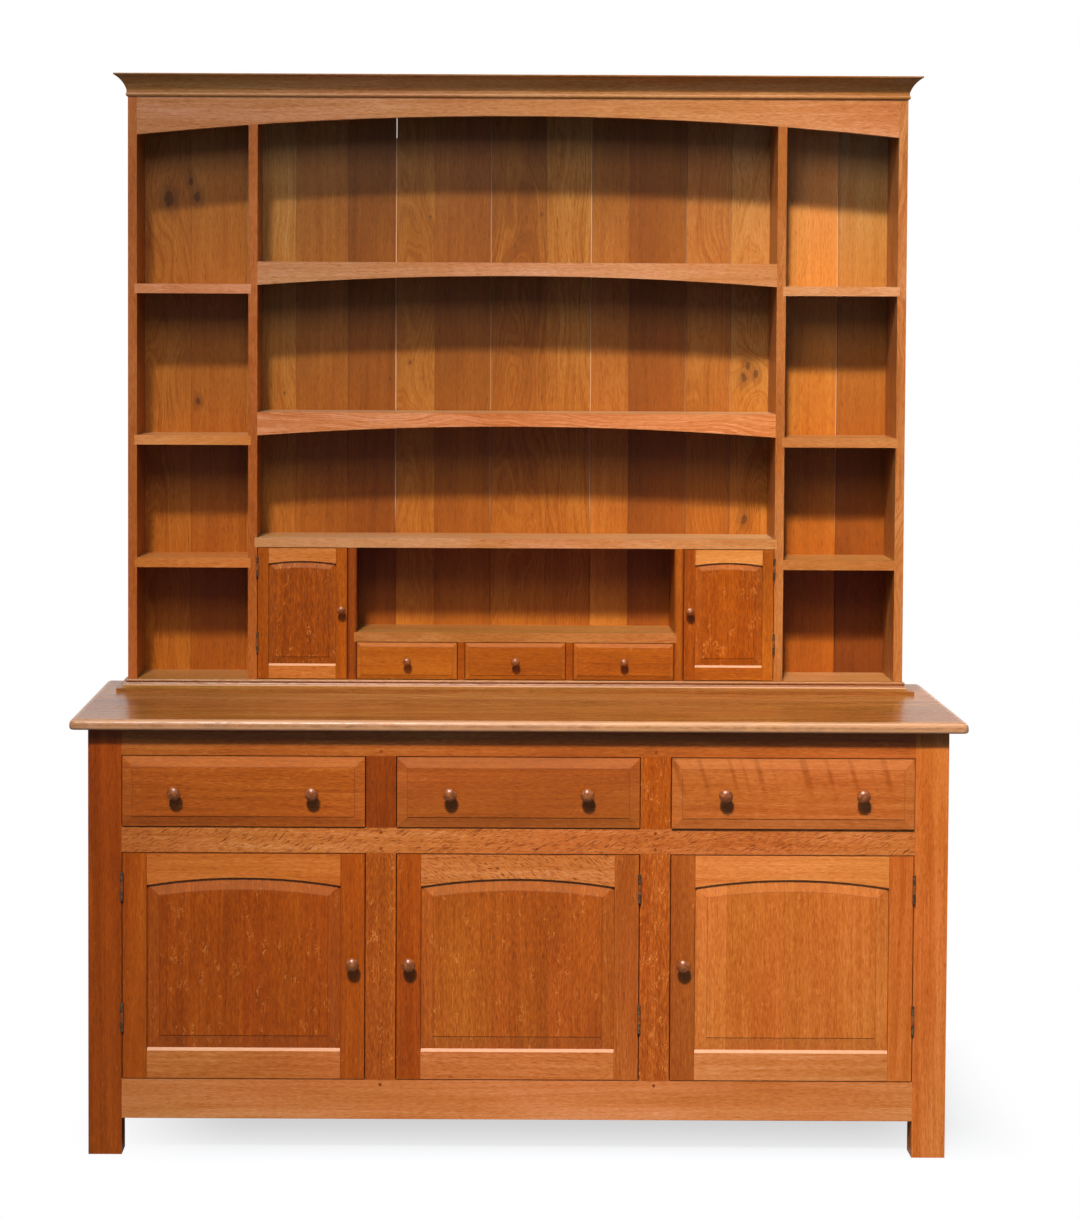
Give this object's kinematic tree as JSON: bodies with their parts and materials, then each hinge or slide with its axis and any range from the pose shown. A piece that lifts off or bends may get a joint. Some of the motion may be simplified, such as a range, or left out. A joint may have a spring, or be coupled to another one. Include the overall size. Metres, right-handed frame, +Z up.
{
  "type": "kitchen dresser",
  "caption": "Tall oak dresser: an open plate rack with small doors and drawers stands on a base of wide drawers over panelled cupboards.",
  "frame": {"origin": "on the ground under the middle of the whole dresser's box", "axes": "+X to a viewer's right, +Y from the front to the back, +Z up"},
  "size_m": [1.685, 0.5078, 2.068],
  "materials": {
    "oak": "waxed golden oak, satin",
    "oak_inside": "plain oak, matt",
    "bronze": "dark bronze, polished by use"
  },
  "bodies": {
    "root": {"arched_shelf_rails": "oak", "back_rails": "oak_inside", "base_back_boards": "oak_inside", "base_floor": "oak_inside", "base_legs": "oak", "bottom_rail": "oak", "centre_shelves": "oak", "cornice": "oak", "cupboard_partitions": "oak_inside", "cupboard_shelves": "oak_inside", "drawer_runners": "oak_inside", "end_panels": "oak", "end_rails": "oak", "frame_pegs": "oak", "frieze": "oak", "hinge_frame_leaves": "bronze", "hinge_pins": "bronze", "middle_rail": "oak", "muntins": "oak", "pigeonhole_shelf": "oak", "rack_back_boards": "oak", "rack_floor": "oak", "rack_foot_moulding": "oak", "rack_partitions": "oak", "rack_sides": "oak", "rack_top": "oak_inside", "shelf_bearers": "oak_inside", "side_shelves": "oak", "small_drawer_dividers": "oak", "top_rail": "oak", "uprights": "oak", "worktop": "oak"},
    "drawer_1": {"drawer_1_front": "oak", "drawer_1_box": "oak_inside", "drawer_1_knobs": "bronze"},
    "drawer_2": {"drawer_2_front": "oak", "drawer_2_box": "oak_inside", "drawer_2_knobs": "bronze"},
    "drawer_3": {"drawer_3_front": "oak", "drawer_3_box": "oak_inside", "drawer_3_knobs": "bronze"},
    "door_1": {"door_1_frame": "oak", "door_1_panel": "oak", "door_1_knob_and_hinges": "bronze"},
    "door_2": {"door_2_frame": "oak", "door_2_panel": "oak", "door_2_knob_and_hinges": "bronze"},
    "door_3": {"door_3_frame": "oak", "door_3_panel": "oak", "door_3_knob_and_hinges": "bronze"},
    "small_door_left": {"small_door_left": "oak", "small_door_left_knob_and_hinges": "bronze"},
    "small_door_right": {"small_door_right": "oak", "small_door_right_knob_and_hinges": "bronze"},
    "small_drawer_1": {"small_drawer_1": "oak", "small_drawer_1_knob": "bronze"},
    "small_drawer_2": {"small_drawer_2": "oak", "small_drawer_2_knob": "bronze"},
    "small_drawer_3": {"small_drawer_3": "oak", "small_drawer_3_knob": "bronze"}
  },
  "joints": [
    {"name": "drawer_1_slide", "type": "slide", "parent": "root", "child": "drawer_1", "axis": [0, -1, 0], "range_m": [0, 0.33]},
    {"name": "drawer_2_slide", "type": "slide", "parent": "root", "child": "drawer_2", "axis": [0, -1, 0], "range_m": [0, 0.33]},
    {"name": "drawer_3_slide", "type": "slide", "parent": "root", "child": "drawer_3", "axis": [0, -1, 0], "range_m": [-0.002, 0.328]},
    {"name": "door_1_hinge", "type": "hinge", "parent": "root", "child": "door_1", "pos_m": [-0.74625, -0.22145, 0.36025], "axis": [0, 0, -1], "range_deg": [0, 110]},
    {"name": "door_2_hinge", "type": "hinge", "parent": "root", "child": "door_2", "pos_m": [0.22925, -0.22145, 0.36025], "axis": [0, 0, 1], "range_deg": [0, 110]},
    {"name": "door_3_hinge", "type": "hinge", "parent": "root", "child": "door_3", "pos_m": [0.74625, -0.22145, 0.36025], "axis": [0, 0, 1], "range_deg": [0, 110]},
    {"name": "small_door_left_hinge", "type": "hinge", "parent": "root", "child": "small_door_left", "pos_m": [-0.5199, 0.11215, 0.98825], "axis": [0, 0, -1], "range_deg": [0, 110]},
    {"name": "small_door_right_hinge", "type": "hinge", "parent": "root", "child": "small_door_right", "pos_m": [0.5199, 0.11215, 0.98825], "axis": [0, 0, 1], "range_deg": [0, 110]},
    {"name": "small_drawer_1_slide", "type": "slide", "parent": "root", "child": "small_drawer_1", "axis": [0, -1, 0], "range_m": [0, 0.075]},
    {"name": "small_drawer_2_slide", "type": "slide", "parent": "root", "child": "small_drawer_2", "axis": [0, -1, 0], "range_m": [0, 0.075]},
    {"name": "small_drawer_3_slide", "type": "slide", "parent": "root", "child": "small_drawer_3", "axis": [0, -1, 0], "range_m": [0, 0.075]}
  ]
}
